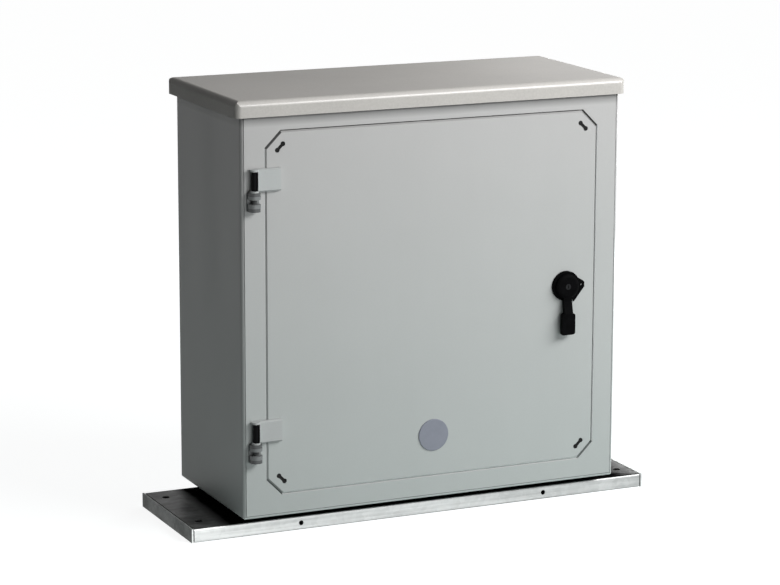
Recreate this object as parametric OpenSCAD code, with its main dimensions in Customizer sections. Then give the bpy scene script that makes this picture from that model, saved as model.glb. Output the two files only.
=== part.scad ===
// Roadside utility cabinet: a moulded polyester body with a rain roof and a hinged door,
// closed by a quarter-turn handle with two lock rods, standing on a folded galvanised base.
// Origin: on the ground, in the middle of the whole outline. +Z is up and the door faces -Y. Millimetres.

/* [Body shell] */
// Width of the body
body_w = 750; // [600:1:1000]
// Depth of the body
body_d = 320; // [280:1:450]
// Height from the underside of the body to the top of the roof
cabinet_h = 758; // [600:1:1000]
// Wall thickness of the moulded body
wall = 5; // [4:0.5:6]
// Outer radius of the body's edges
edge_r = 7; // [6.5:0.5:10]

/* [Roof] */
// Height of the roof, with its skirt
roof_h = 30; // [24:1:45]
// Thickness of the roof
roof_t = 3.5; // [3:0.5:4]
// Height of the bosses that hold the roof above the body
roof_boss_h = 10; // [6:1:14]
// Diameter of the roof bosses
roof_boss_d = 20; // [16:1:26]
// Overhang of the roof at each side
roof_side = 10.5; // [8:0.5:25]
// Overhang of the roof at the front
roof_front = 5; // [5:0.5:20]
// Overhang of the roof at the back
roof_rear = 17; // [8:1:30]
// Radius of the roof's edges
roof_edge_r = 11; // [6:0.5:12]
// Distance of the roof screws from the body's sides
roof_screw_inset = 75; // [55:1:120]

/* [Front frame] */
// Thickness of the front frame
frame_t = 5; // [4:0.5:6]
// Depth of the frame's return along the body wall
frame_return = 30; // [26:1:40]
// Width of the shadow groove between frame and body
seam_w = 1.2; // [0.6:0.1:2]
// Depth of the shadow groove
seam_depth = 3; // [1:0.5:4]
// Width of the frame beside the door opening
border_side = 44; // [42:1:60]
// Height of the frame below the door opening
border_bottom = 40; // [34:1:60]
// Height of the frame between the door opening and the roof
border_top = 25; // [20:1:40]
// Length of the opening's cut-off corners along each side
corner_cut = 31; // [26:1:45]
// Width of the lip behind the door
lip_w = 20; // [18:1:26]
// Space between the door's rims and the lip
lip_clear = 4; // [3:0.5:8]
// Thickness of the sealing rim
seal_rim_t = 2.5; // [2:0.25:3]

/* [Door] */
// Groove between door and frame
door_gap = 2; // [1.75:0.25:3]
// Thickness of the door's face
door_t = 4; // [3.5:0.5:6]
// Width of the bevel on the door's front edge
door_bevel = 3; // [1:0.25:3]
// Depth of the door's rims, from the front
door_rim_depth = 16; // [14:0.5:20]
// Thickness of the door's rims
door_rim_t = 3; // [2.5:0.25:3.5]
// Width of the gasket channel between the rims
channel_w = 9; // [8.5:0.5:10]
// Thickness of the gasket
gasket_t = 9; // [7:0.5:10]
// Clearance of the gasket to the channel's sides, and to the sealing rim
gasket_clear = 0.3; // [0.2:0.05:0.6]
// Distance between the round ends of a corner slot
slot_span = 15; // [12:1:20]
// Width of a corner slot
slot_w = 6; // [4:0.5:7]
// Diameter of the slot's round ends
slot_end_d = 9; // [7:0.5:10]
// Depth of a corner slot
slot_depth = 8; // [5:0.5:10]
// Distance of a corner slot from the cut-off edge
slot_inset = 21; // [20.5:0.5:26]
// Depth of the plugs' faces below the door's face
plug_recess = 0.6; // [0.2:0.1:2]
// Diameter of the plain disc on the door
disc_d = 60; // [40:1:80]
// Thickness of the disc
disc_t = 2; // [1:0.25:4]
// Height of the disc above the opening's lower edge
disc_rise = 79; // [60:1:120]

/* [Hinges] */
// Distance of the hinge axis from the body's side
hinge_inset = 21.5; // [19:0.5:24]
// Diameter of the hinge pin
pin_d = 10; // [8:0.5:11]
// Running clearance on the hinge pin's radius
pin_clear = 0.05; // [0.02:0.01:0.1]
// Wall of the leaf's knuckle
knuckle_wall = 3; // [2.5:0.25:4]
// Clearance of the knuckle and leaf to the frame
leaf_clear = 1; // [0.6:0.1:2]
// Height of a hinge leaf
leaf_h = 41; // [34:1:50]
// Thickness of the closed eye above the pin
leaf_cap = 3.5; // [3:0.5:8]
// Height of the leaf's lower eye
leaf_eye = 3; // [2:0.5:6]
// Reach of the leaf onto the door, from the opening's edge
leaf_reach = 29; // [26:1:36]
// Thickness of the leaf
leaf_t = 8; // [6:0.5:10]
// Width of the bevel on the leaf's upper and lower edges
leaf_bevel = 2.5; // [1:0.25:3]
// Height of the thrust washer between leaf and bracket
washer_h = 5.5; // [3:0.5:7]
// Height of the bracket's upper eye
upper_eye_h = 6; // [5:0.5:9]
// Space between the bracket's eyes
eye_space = 8.5; // [6:0.5:12]
// Height of the bracket's lower eye
lower_eye_h = 7; // [5:0.5:9]
// Height of the cap that carries the pin
pin_cap_h = 6.5; // [5:0.5:8]
// Diameter of the bracket's eyes
bracket_d = 23; // [20:0.5:26]
// Diameter of the washer and the cap
collar_d = 22; // [18:0.5:24]
// Distance of the upper hinge's split from the opening's upper edge
hinge_drop = 107; // [80:1:160]
// Distance of the lower hinge's split from the opening's lower edge
hinge_rise = 101; // [80:1:160]
// Diameter of the studs that hold the hinges
stud_d = 5; // [4:0.5:5]

/* [Handle] */
// Distance of the handle's axis from the opening's edge
handle_inset = 62.5; // [60:0.5:70]
// Height of the handle's axis above the middle of the door
handle_rise = 4; // [-40:1:40]
// Diameter of the rosette
rosette_d = 56; // [50:1:64]
// Thickness of the rosette
rosette_t = 5; // [4.5:0.5:9]
// Reach of the rosette's ear from the axis
ear_reach = 38.5; // [36:0.5:44]
// Width of the ear's tip
ear_w = 15; // [11:0.5:18]
// Drop of the ear's lower flank below the rosette
ear_drop = 3; // [1:0.5:6]
// Thickness of the ear
ear_t = 3; // [2:0.25:3.25]
// Diameter of the sealing-wire hole in the ear
ear_hole_d = 4; // [3:0.5:5]
// Diameter of the threaded barrel behind the rosette
barrel_d = 26; // [24:0.5:30]
// Diameter of the handle's sleeve in the rosette
sleeve_d = 18; // [16:0.5:19]
// Running clearance on the sleeve's and the plug's radius
turn_clear = 0.05; // [0.02:0.01:0.1]
// Diameter of the handle's hub
hub_d = 46; // [40:1:50]
// Height of the hub above the rosette
hub_h = 8; // [7.5:0.5:14]
// Length of the lever, from the axis to its end
lever_len = 91; // [80:1:110]
// Width of the lever's neck
neck_w = 17; // [12:0.5:20]
// Length of the grip
grip_len = 41; // [30:1:48]
// Width of the grip
grip_w = 27; // [21:0.5:30]
// Space between grip and door
grip_space = 8; // [7.5:0.5:14]
// Thickness of the grip
grip_t = 9; // [8:0.5:14]
// Diameter of the lock plug
plug_d = 11; // [9:0.5:13]
// Length of the lock plug
plug_len = 6; // [5:0.5:6.5]

/* [Lock gear] */
// Width across the flats of the square spindle
spindle_w = 8; // [7:0.5:9]
// Radius of the cam pins about the handle's axis
cam_r = 20; // [18:0.5:22]
// Thickness of the cam plate
cam_t = 3; // [2.5:0.5:4]
// Clearance of the cam plate behind the lip
cam_clear = 1; // [0.6:0.1:2]
// Width of the tongue on the cam plate
tongue_w = 20; // [16:1:22]
// Overlap of the tongue behind the lip when it is turned out
tongue_hold = 15; // [10:1:18]
// Diameter of the cam pins
cam_pin_d = 8; // [7:0.5:9]
// Clearance above and below the pin in a rod's slot
rod_slot_clear = 1; // [1:0.1:1.5]
// Width of a lock rod
rod_w = 12; // [10:0.5:14]
// Thickness of a lock rod
rod_t = 4; // [3:0.5:5]
// Clearance between rods, cam and guides
rod_clear = 0.5; // [0.3:0.1:0.8]
// Distance from the lip to the rod's end when unlocked
rod_tip_clear = 8; // [6:0.5:12]
// Distance of a rod guide from the opening's edge
guide_inset = 80; // [64:1:140]

/* [Mounting plate] */
// Distance of the mounting plate's edges from the body walls
plate_margin = 50; // [40:1:90]
// Thickness of the mounting plate
plate_t = 2.5; // [2:0.5:4]
// Depth of the plate's folded edges
plate_fold = 14; // [8:1:20]
// Length of the bosses that carry the plate
post_h = 28; // [22:1:40]
// Diameter of the bosses
post_d = 26; // [20:1:32]
// Distance of the bosses from the plate's edges
post_inset = 35; // [25:1:60]
// Distance of the equipment holes from the plate's edges
plate_hole_inset = 95; // [80:1:140]
// Diameter of the equipment holes
plate_hole_d = 7; // [4:0.5:9]

/* [Cable entry] */
// Width of the cable opening in the floor
entry_w = 400; // [200:1:440]
// Depth of the cable opening in the floor
entry_d = 130; // [80:1:140]
// Width of the gland plate's rim round the opening
gland_rim = 20; // [16:1:26]
// Thickness of the gland plate
gland_t = 2; // [1.5:0.5:4]
// Thickness of the gland plate's gasket
gland_gasket_t = 3; // [2:0.5:5]

/* [Base] */
// Length of the base past each side of the body
base_side = 85; // [64:1:120]
// Depth of the base
base_d = 260; // [230:1:300]
// Height of the base
base_h = 26; // [22:1:50]
// Thickness of the galvanised sheet
base_t = 2.5; // [2:0.25:3]
// Outer radius of the folds
bend_r = 4; // [3.5:0.25:5]
// Width of the base's lower lips
base_lip = 22; // [16:1:32]
// Thickness of the caps on the base's ends
cap_t = 3; // [2:0.25:4]
// Width of the caps' leg under the base's top
cap_w = 18; // [14:0.5:20]
// Gap at the base's corner seams
base_seam = 2; // [1:0.1:3]
// Distance of the base's front behind the body's front
base_inset = 37; // [20:1:48]
// Height of the spacers between base and body
foot_gap = 16; // [8:1:30]
// Diameter of the spacers
foot_d = 40; // [30:1:50]
// Distance of the anchor holes from the base's ends
anchor_inset = 30; // [24:1:40]
// Distance of the anchor holes from the base's front and rear
anchor_edge = 45; // [36:1:70]
// Diameter of the anchor holes
anchor_d = 14; // [10:0.5:18]
// Distance of the flange holes from the base's ends
flange_hole_inset = 212.5; // [150:0.5:300]
// Diameter of the holes in the front and rear flanges
flange_hole_d = 9; // [6:0.5:11]
// Distance of the body bolts from the body's sides
bolt_inset = 75; // [40:1:110]
// Distance of the body bolts from the base's front and rear
bolt_edge = 50; // [44:1:70]
// Diameter of the body bolts
bolt_d = 10; // [8:0.5:12]

/* [Hidden] */
$fn = 64;

// Colours
grey_body = [0.66, 0.69, 0.68];
grey_roof = [0.70, 0.68, 0.65];
grey_hinge = [0.45, 0.47, 0.47];
grey_disc = [0.50, 0.52, 0.55];
black = [0.04, 0.04, 0.045];
zinc = [0.72, 0.73, 0.74];
brass = [0.72, 0.58, 0.30];

// Small allowances
eps = 0.01;
over = 5;
hole_clear = 0.5;
thread_clear = 0.1;
square_clear = 0.1;
min_r = 0.5;

// Main planes
base_l = body_w + 2 * base_side;
z_body = base_h + foot_gap;
z_roof = z_body + cabinet_h;
body_h = cabinet_h - roof_t - roof_boss_h;
z_body_top = z_body + body_h;
hub_gap = 0.4;
hub_front = rosette_t + hub_gap + hub_h;
hinge_stand = pin_d / 2 + knuckle_wall + leaf_clear;
reach_front = max(hub_front, grip_space + grip_t, hinge_stand + bracket_d / 2);
y_front = (reach_front - body_d - roof_rear) / 2;
y_back = y_front + body_d;
y_mid = (y_front + y_back) / 2;
base_y = y_front + base_inset + base_d / 2;

// Door opening
open_w = body_w - 2 * border_side;
open_z0 = z_body + border_bottom;
open_z1 = z_roof - roof_h - border_top;
open_h = open_z1 - open_z0;
open_zc = (open_z0 + open_z1) / 2;
rebate = door_rim_depth + lip_clear + frame_t;
seal_tip = door_t + gasket_t + gasket_clear;
inner_rim_inset = door_gap + door_rim_t + channel_w;
slot_at = corner_cut / 2 + slot_inset / sqrt(2);
seal_rim_inset = inner_rim_inset - seal_rim_t - 2 * gasket_clear;

// Hinges
hinge_x = -body_w / 2 + hinge_inset;
hinge_y = y_front - hinge_stand;
upper_split = open_z1 - hinge_drop;
lower_split = open_z0 + hinge_rise;
thrust_gap = 0.3;
leaf_on_door = door_gap + 0.5;
leaf_pad_x = -open_w / 2 + leaf_on_door;
stud_nut_w = stud_d * 1.6;
stud_nut_h = stud_d * 0.8;
leaf_stud_inset = inner_rim_inset + door_rim_t + stud_nut_w / 2 / cos(30) + gasket_clear;
leaf_stud_x = -open_w / 2 + leaf_stud_inset;
leaf_end_x = -open_w / 2 + max(leaf_reach, leaf_stud_inset + stud_d / 2 + leaf_clear);
leaf_stud_dz = leaf_h / 2 - stud_d - 3;
bracket_h = washer_h + upper_eye_h + eye_space + lower_eye_h + pin_cap_h;
bracket_stud_dz = bracket_h / 2 - stud_d - 3;
cap_floor = 2;
hinge_flat = pin_d / 2 + 1;

// Handle and lock gear, as depths behind the door's front face
handle_x = open_w / 2 - handle_inset;
handle_z = open_zc + handle_rise;
barrel_out = 9;
nut_h = 6;
nut_w = 36;
hub_edge = 3;
rosette_edge = 1.5;
barrel_back = door_t + barrel_out;
cam_at = rebate + cam_clear;
rod_at = cam_at + cam_t + rod_clear;
rod_back = rod_at + rod_t;
rod_stroke = cam_r * sqrt(2);
rod_x = cam_r * (1 + sqrt(0.5)) / 2;
rod_eye_w = cam_r * (1 - sqrt(0.5)) + cam_pin_d + 2 * rod_clear;
rod_eye_h = cam_pin_d + 2 * rod_slot_clear;
rod_head_wall = 3.5;
tongue_len = handle_inset - lip_w + tongue_hold;
cam_screw_d = 4;
cam_screw_head_d = spindle_w + 2;
cam_screw_head_h = 3;
cam_pin_head_d = 11;
cam_pin_head_h = 1.5;
guide_h = 20;
guide_pitch = 32;
guide_foot_t = 4;
guide_wall = 4;
guide_boss_d = 14;
guide_boss_h = 10;
guide_screw_d = 4;
guide_screw_head_d = 8;
guide_screw_head_h = 3;

// Mounting plate and its posts
inside_back = y_back - wall;
plate_front = inside_back - post_h - plate_t;
plate_w = body_w - 2 * wall - 2 * plate_margin;
plate_h = body_h - 2 * wall - 2 * plate_margin;
plate_zc = z_body + body_h / 2;
plate_hole_x = plate_w - 2 * plate_hole_inset;
plate_hole_z = plate_h - 2 * plate_hole_inset;
insert_d = 9;
insert_len = 16;
plate_screw_d = 6;
plate_screw_len = 12;
plate_screw_head_d = 13;
plate_screw_head_h = 4;

// Cable entry and base
floor_top = z_body + wall;
gland_w = entry_w + 2 * gland_rim;
gland_d = entry_d + 2 * gland_rim;
gland_corner_r = 8;
gland_screw_d = 5;
gland_screw_head_d = 10;
gland_screw_head_h = 3;
base_entry_margin = 6;
anchor_x = base_l - 2 * anchor_inset;
anchor_y = base_d - 2 * anchor_edge;
flange_hole_x = base_l - 2 * flange_hole_inset;
bolt_x = body_w - 2 * bolt_inset;
bolt_y = base_d - 2 * bolt_edge;
washer_d = 21;
washer_t = 2;
bolt_head_w = 17;
bolt_head_h = 6.5;
bolt_nut_h = 8;
roof_screw_d = 6;
roof_screw_head_d = 12;
roof_screw_head_h = 4;
roof_screw_bite = roof_boss_h - 2;

// Flat outlines

// Rectangle with round corners, centred
module round_rect(w, h, r) {
    square([w - 2 * r, h], center = true);
    square([w, h - 2 * r], center = true);
    for (x = [-1, 1], y = [-1, 1])
        translate([x * (w / 2 - r), y * (h / 2 - r)])
            circle(r);
}

// Slot with round ends, centred
module slot(w, h) {
    square([w - h, h], center = true);
    for (x = [-1, 1])
        translate([x * (w - h) / 2, 0])
            circle(d = h);
}

// Rectangle whose two upper corners are round, standing on the X axis
module round_top_rect(w, h, r) {
    translate([-w / 2, 0])
        square([w, h - r]);
    translate([-w / 2 + r, 0])
        square([w - 2 * r, h]);
    for (x = [-1, 1])
        translate([x * (w / 2 - r), h - r])
            circle(r);
}

// Outline of the door opening, moved in by inset on every side
module opening(inset) {
    w = open_w / 2 - inset;
    h = open_h / 2 - inset;
    c = corner_cut - inset * (2 - sqrt(2));
    polygon([
        [-w + c, -h], [w - c, -h], [w, -h + c], [w, h - c],
        [w - c, h], [-w + c, h], [-w, h - c], [-w, -h + c]
    ]);
}

// Ring between two insets of the opening's outline
module opening_ring(outer, inner) {
    difference() {
        opening(outer);
        opening(inner);
    }
}

// Stands a flat outline up in the front, from depth t0 to depth t1 behind the body's front face
module front_slab(t0, t1, zc = open_zc) {
    translate([0, y_front + t1, zc])
        rotate([90, 0, 0])
            linear_extrude(t1 - t0)
                children();
}

// Points the Z axis out of the door at a place on its front face
module on_door(x, z) {
    translate([x, y_front, z])
        rotate([90, 0, 0])
            children();
}

// Box with round vertical edges and round upper edges, standing on Z = 0
module soft_box(w, d, h, corner_r, top_r) {
    intersection() {
        linear_extrude(h)
            round_rect(w, d, corner_r);
        translate([0, d / 2, 0])
            rotate([90, 0, 0])
                linear_extrude(d)
                    round_top_rect(w, h, top_r);
        translate([-w / 2, 0, 0])
            rotate([90, 0, 90])
                linear_extrude(w)
                    round_top_rect(d, h, top_r);
    }
}

// Fasteners

// Pan-head screw: the head stands on Z = 0 and the shank goes down
module pan_screw(d, len, head_d, head_h) {
    drive_w = d / 4;
    edge = head_h / 3;
    difference() {
        union() {
            translate([0, 0, -len])
                cylinder(d = d, h = len);
            cylinder(d = head_d, h = head_h - edge);
            translate([0, 0, head_h - edge])
                cylinder(d1 = head_d, d2 = head_d - 2 * edge, h = edge);
        }
        for (a = [0, 90])
            rotate([0, 0, a])
                translate([-head_d / 4, -drive_w / 2, head_h / 2])
                    cube([head_d / 2, drive_w, head_h]);
    }
}

// Hexagon nut standing on Z = 0
module hex_nut(w, h, bore) {
    difference() {
        cylinder(d = w / cos(30), h = h, $fn = 6);
        translate([0, 0, -over])
            cylinder(d = bore, h = h + 2 * over);
    }
}

// Places for what repeats

module at_roof_screws() {
    for (x = [-1, 1], y = [-1, 1])
        translate([x * (body_w / 2 - roof_screw_inset), y_mid + y * (body_d / 2 - roof_screw_inset), 0])
            children();
}

module at_posts() {
    for (x = [-1, 1], z = [-1, 1])
        translate([x * (plate_w / 2 - post_inset), inside_back, plate_zc + z * (plate_h / 2 - post_inset)])
            rotate([90, 0, 0])
                children();
}

module at_body_bolts() {
    for (x = [-1, 1], y = [-1, 1])
        translate([x * bolt_x / 2, base_y + y * bolt_y / 2, 0])
            children();
}

module at_gland_screws() {
    for (x = [-1, 0, 1], y = [-1, 1])
        translate([x * (entry_w + gland_rim) / 2, base_y + y * (entry_d + gland_rim) / 2, 0])
            children();
}

module at_guide_bosses(side) {
    for (x = [-1, 1])
        on_door(handle_x - side * rod_x + x * guide_pitch / 2, guide_z(side))
            children();
}

module at_corner_slots() {
    for (x = [-1, 1], z = [-1, 1])
        on_door(x * (open_w / 2 - slot_at), open_zc + z * (open_h / 2 - slot_at))
            rotate([0, 0, -x * z * 45])
                children();
}

module at_leaf_studs(split) {
    for (z = [-1, 1])
        on_door(leaf_stud_x, split + thrust_gap + leaf_h / 2 + z * leaf_stud_dz)
            children();
}

module at_bracket_studs(split) {
    for (z = [-1, 1])
        on_door(hinge_x, split - bracket_h / 2 + z * bracket_stud_dz)
            children();
}

// Height of a rod guide: side is 1 for the upper rod and -1 for the lower one
function guide_z(side) = open_zc + side * (open_h / 2 - guide_inset);

// Body shell: a tub with an open front, moulded with four posts on its back wall
module body_shell() {
    inner_r = max(edge_r - wall, min_r);
    color(grey_body)
    difference() {
        union() {
            difference() {
                translate([0, y_mid, z_body_top])
                    mirror([0, 0, 1])
                        soft_box(body_w, body_d, body_h, edge_r, edge_r);
                translate([0, y_mid - edge_r, floor_top])
                    linear_extrude(body_h - 2 * wall)
                        round_rect(body_w - 2 * wall, body_d - 2 * wall + 2 * edge_r, inner_r);
            }
            at_posts()
                cylinder(d = post_d, h = post_h);
        }
        at_posts()
            translate([0, 0, post_h - insert_len])
                cylinder(d = insert_d + 2 * thread_clear, h = insert_len + over);
        translate([0, base_y, z_body - over])
            linear_extrude(wall + 2 * over)
                round_rect(entry_w, entry_d, gland_corner_r);
        at_body_bolts()
            translate([0, 0, z_body - over])
                cylinder(d = bolt_d + 2 * hole_clear, h = wall + 2 * over);
        at_gland_screws()
            translate([0, 0, z_body - over])
                cylinder(d = gland_screw_d + 2 * thread_clear, h = wall + 2 * over);
        at_roof_screws()
            translate([0, 0, z_body_top - wall - over])
                cylinder(d = roof_screw_d + 2 * hole_clear, h = wall + 2 * over);
    }
}

// Front frame: set in the tub's mouth, with a rebate, a lip and a sealing rim for the door
module front_frame() {
    w = body_w - 2 * wall;
    h = body_h - 2 * wall;
    zc = z_body + body_h / 2;
    dz = open_zc - zc;
    color(grey_body)
    difference() {
        union() {
            front_slab(0, frame_t, zc)
                difference() {
                    square([w - 2 * seam_w, h - 2 * seam_w], center = true);
                    translate([0, dz])
                        opening(0);
                }
            front_slab(seam_depth, frame_return, zc)
                difference() {
                    square([w, h], center = true);
                    square([w - 2 * frame_t, h - 2 * frame_t], center = true);
                }
            front_slab(0, rebate)
                opening_ring(-frame_t, 0);
            front_slab(rebate - frame_t, rebate)
                opening_ring(-frame_t, lip_w);
            front_slab(seal_tip, rebate)
                opening_ring(seal_rim_inset, seal_rim_inset + seal_rim_t);
        }
        for (split = [upper_split, lower_split])
            at_bracket_studs(split)
                translate([0, 0, -frame_t - over])
                    cylinder(d = stud_d + 2 * hole_clear, h = frame_t + 2 * over);
    }
}

// Rain roof: a moulded cap with a skirt, held above the body by four bosses
module roof_canopy() {
    w = body_w + 2 * roof_side;
    d = body_d + roof_front + roof_rear;
    yc = (y_front - roof_front + y_back + roof_rear) / 2;
    color(grey_roof)
    difference() {
        union() {
            difference() {
                translate([0, yc, z_roof - roof_h])
                    soft_box(w, d, roof_h, roof_edge_r, roof_edge_r);
                translate([0, yc, z_roof - roof_h - over])
                    linear_extrude(roof_h - roof_t + over)
                        round_rect(w - 2 * roof_t, d - 2 * roof_t, max(roof_edge_r - roof_t, min_r));
            }
            at_roof_screws()
                translate([0, 0, z_body_top])
                    cylinder(d = roof_boss_d, h = roof_boss_h);
        }
        at_roof_screws()
            translate([0, 0, z_body_top - over])
                cylinder(d = roof_screw_d + 2 * thread_clear, h = roof_screw_bite + over);
    }
}

// Roof screws, driven upwards from inside the body
module roof_screws() {
    color(zinc)
    at_roof_screws()
        translate([0, 0, z_body_top - wall])
            mirror([0, 0, 1])
                pan_screw(roof_screw_d, wall + roof_screw_bite - hole_clear, roof_screw_head_d, roof_screw_head_h);
}

// Slot beside a cut-off corner: a short groove with two round ends, less a clearance all round
module corner_slot(clear) {
    square([slot_span, slot_w - 2 * clear], center = true);
    for (x = [-1, 1])
        translate([x * slot_span / 2, 0])
            circle(d = slot_end_d - 2 * clear);
}

// Door panel: a bevelled face with a gasket channel between two rims at the back
module door_panel() {
    pad_wall = door_t / 2;
    pad_w = slot_span + slot_end_d + 2 * pad_wall;
    pad_h = slot_end_d + 2 * pad_wall;
    color(grey_body)
    difference() {
        union() {
            hull() {
                front_slab(0, eps)
                    opening(door_gap + door_bevel);
                front_slab(door_bevel, door_t)
                    opening(door_gap);
            }
            front_slab(door_bevel, door_rim_depth)
                opening_ring(door_gap, door_gap + door_rim_t);
            front_slab(door_bevel, door_rim_depth)
                opening_ring(inner_rim_inset, inner_rim_inset + door_rim_t);
            for (side = [-1, 1])
                at_guide_bosses(side)
                    translate([0, 0, -door_t - guide_boss_h])
                        cylinder(d = guide_boss_d, h = guide_boss_h + door_t - door_bevel);
            at_corner_slots()
                translate([-pad_w / 2, -pad_h / 2, -slot_depth - pad_wall])
                    cube([pad_w, pad_h, slot_depth + pad_wall - door_bevel]);
        }
        at_corner_slots()
            translate([0, 0, -slot_depth])
                linear_extrude(slot_depth + over)
                    corner_slot(0);
        on_door(handle_x, handle_z)
            translate([0, 0, -door_t - over])
                cylinder(d = barrel_d + 2 * hole_clear, h = door_t + 2 * over);
        for (split = [upper_split, lower_split])
            at_leaf_studs(split)
                translate([0, 0, -door_t - over])
                    cylinder(d = stud_d + 2 * hole_clear, h = door_t + 2 * over);
        for (side = [-1, 1])
            at_guide_bosses(side)
                translate([0, 0, -door_t - guide_boss_h - over])
                    cylinder(d = guide_screw_d + 2 * thread_clear, h = guide_boss_h + over);
    }
}

// Foam gasket in the door's channel
module door_gasket() {
    color(black)
    front_slab(door_t, door_t + gasket_t)
        opening_ring(door_gap + door_rim_t + gasket_clear, inner_rim_inset - gasket_clear);
}

// Plain round disc on the door's face
module door_disc() {
    edge = disc_t / 2;
    color(grey_disc)
    on_door(0, open_z0 + disc_rise)
        rotate_extrude()
            polygon([[0, 0], [disc_d / 2, 0], [disc_d / 2, disc_t - edge], [disc_d / 2 - edge, disc_t], [0, disc_t]]);
}

// Black plugs in the door's corner slots
module corner_plugs() {
    color(black)
    at_corner_slots()
        translate([0, 0, -slot_depth])
            linear_extrude(slot_depth - plug_recess)
                corner_slot(gasket_clear);
}

// Section of a hinge leaf: a plate with bevelled upper and lower edges, in front of the door
module leaf_section() {
    polygon([
        [0, 0], [leaf_bevel - leaf_t, 0], [-leaf_t, leaf_bevel], [-leaf_t, leaf_h - leaf_bevel],
        [leaf_bevel - leaf_t, leaf_h], [0, leaf_h]
    ]);
}

// Hinge leaf: a thick plate on the door, reaching over the frame to two eyes round the pin
module hinge_leaf(split) {
    z0 = split + thrust_gap;
    pin_r = pin_d / 2 + pin_clear;
    window_h = leaf_h - leaf_cap - leaf_eye;
    color(grey_body)
    difference() {
        union() {
            translate([hinge_x, y_front, z0])
                rotate([90, 0, 90])
                    linear_extrude(leaf_end_x - hinge_x)
                        leaf_section();
            translate([hinge_x, hinge_y, z0])
                cylinder(r = pin_d / 2 + knuckle_wall, h = leaf_h);
            at_leaf_studs(split)
                translate([0, 0, -door_t - stud_nut_h - stud_d / 2])
                    cylinder(d = stud_d, h = door_t + stud_nut_h + stud_d / 2 + leaf_t / 2);
        }
        translate([hinge_x - bracket_d, y_front - leaf_clear, z0 - over])
            cube([leaf_pad_x - hinge_x + bracket_d, leaf_clear + over, leaf_h + 2 * over]);
        translate([hinge_x, hinge_y, z0 - over])
            cylinder(r = pin_r, h = leaf_h - leaf_cap / 2 + over);
        translate([hinge_x - bracket_d, hinge_y - bracket_d, z0 + leaf_eye])
            cube([bracket_d + pin_r + leaf_clear / 2, 2 * bracket_d, window_h]);
    }
}

module hinge_leaf_upper() {
    hinge_leaf(upper_split);
}

module hinge_leaf_lower() {
    hinge_leaf(lower_split);
}

// Nuts on the leaf studs, inside the door
module hinge_leaf_nuts() {
    color(zinc)
    for (split = [upper_split, lower_split])
        at_leaf_studs(split)
            translate([0, 0, -door_t - stud_nut_h])
                hex_nut(stud_nut_w, stud_nut_h, stud_d + 2 * thread_clear);
}

// Hinge bracket: a back plate with two eyes round the pin and two studs through the frame
module hinge_bracket(split) {
    z0 = split - bracket_h;
    r_in = pin_d / 2 + pin_clear;
    color(grey_hinge) {
        difference() {
            intersection() {
                union() {
                    translate([hinge_x, hinge_y, z0 + pin_cap_h])
                        cylinder(d = bracket_d, h = lower_eye_h);
                    translate([hinge_x, hinge_y, split - washer_h - upper_eye_h])
                        cylinder(d = bracket_d, h = upper_eye_h);
                    translate([hinge_x - bracket_d / 2, hinge_y + hinge_flat, z0])
                        cube([bracket_d, hinge_stand - hinge_flat, bracket_h]);
                }
                translate([hinge_x - bracket_d, y_front - 2 * bracket_d, z0 - over])
                    cube([2 * bracket_d, 2 * bracket_d, bracket_h + 2 * over]);
            }
            translate([hinge_x, hinge_y, z0 - over])
                cylinder(r = r_in, h = bracket_h + 2 * over);
        }
        at_bracket_studs(split)
            translate([0, 0, -frame_t - stud_nut_h - stud_d / 2])
                cylinder(d = stud_d, h = frame_t + stud_nut_h + stud_d / 2 + leaf_clear);
    }
}

module hinge_bracket_upper() {
    hinge_bracket(upper_split);
}

module hinge_bracket_lower() {
    hinge_bracket(lower_split);
}

// Nuts on the bracket studs, behind the frame
module hinge_bracket_nuts() {
    color(zinc)
    for (split = [upper_split, lower_split])
        at_bracket_studs(split)
            translate([0, 0, -frame_t - stud_nut_h])
                hex_nut(stud_nut_w, stud_nut_h, stud_d + 2 * thread_clear);
}

// Hinge pin: a rod that stands in the lower cap and ends in the leaf's upper eye
module hinge_pin(split) {
    len = bracket_h - cap_floor + leaf_h - leaf_cap / 2;
    tip = pin_d / 10;
    color(black)
    translate([hinge_x, hinge_y, split - bracket_h + cap_floor])
        rotate_extrude()
            polygon([
                [0, 0], [pin_d / 2 - tip, 0], [pin_d / 2, tip],
                [pin_d / 2, len - tip], [pin_d / 2 - tip, len], [0, len]
            ]);
}

module hinge_pin_upper() {
    hinge_pin(upper_split);
}

module hinge_pin_lower() {
    hinge_pin(lower_split);
}

// Hinge collars: a thrust washer on each bracket and a closed cap under it, flat at the back
module hinge_collars() {
    r_in = pin_d / 2 + pin_clear;
    color(grey_hinge)
    for (split = [upper_split, lower_split])
        difference() {
            intersection() {
                union() {
                    translate([hinge_x, hinge_y, split - washer_h])
                        cylinder(d = collar_d, h = washer_h);
                    translate([hinge_x, hinge_y, split - bracket_h])
                        cylinder(d = collar_d, h = pin_cap_h);
                }
                translate([hinge_x - bracket_d, hinge_y + hinge_flat - 2 * bracket_d, split - 2 * bracket_h])
                    cube([2 * bracket_d, 2 * bracket_d, 3 * bracket_h]);
            }
            translate([hinge_x, hinge_y, split - bracket_h + cap_floor])
                cylinder(r = r_in, h = 2 * bracket_h);
        }
}

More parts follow.
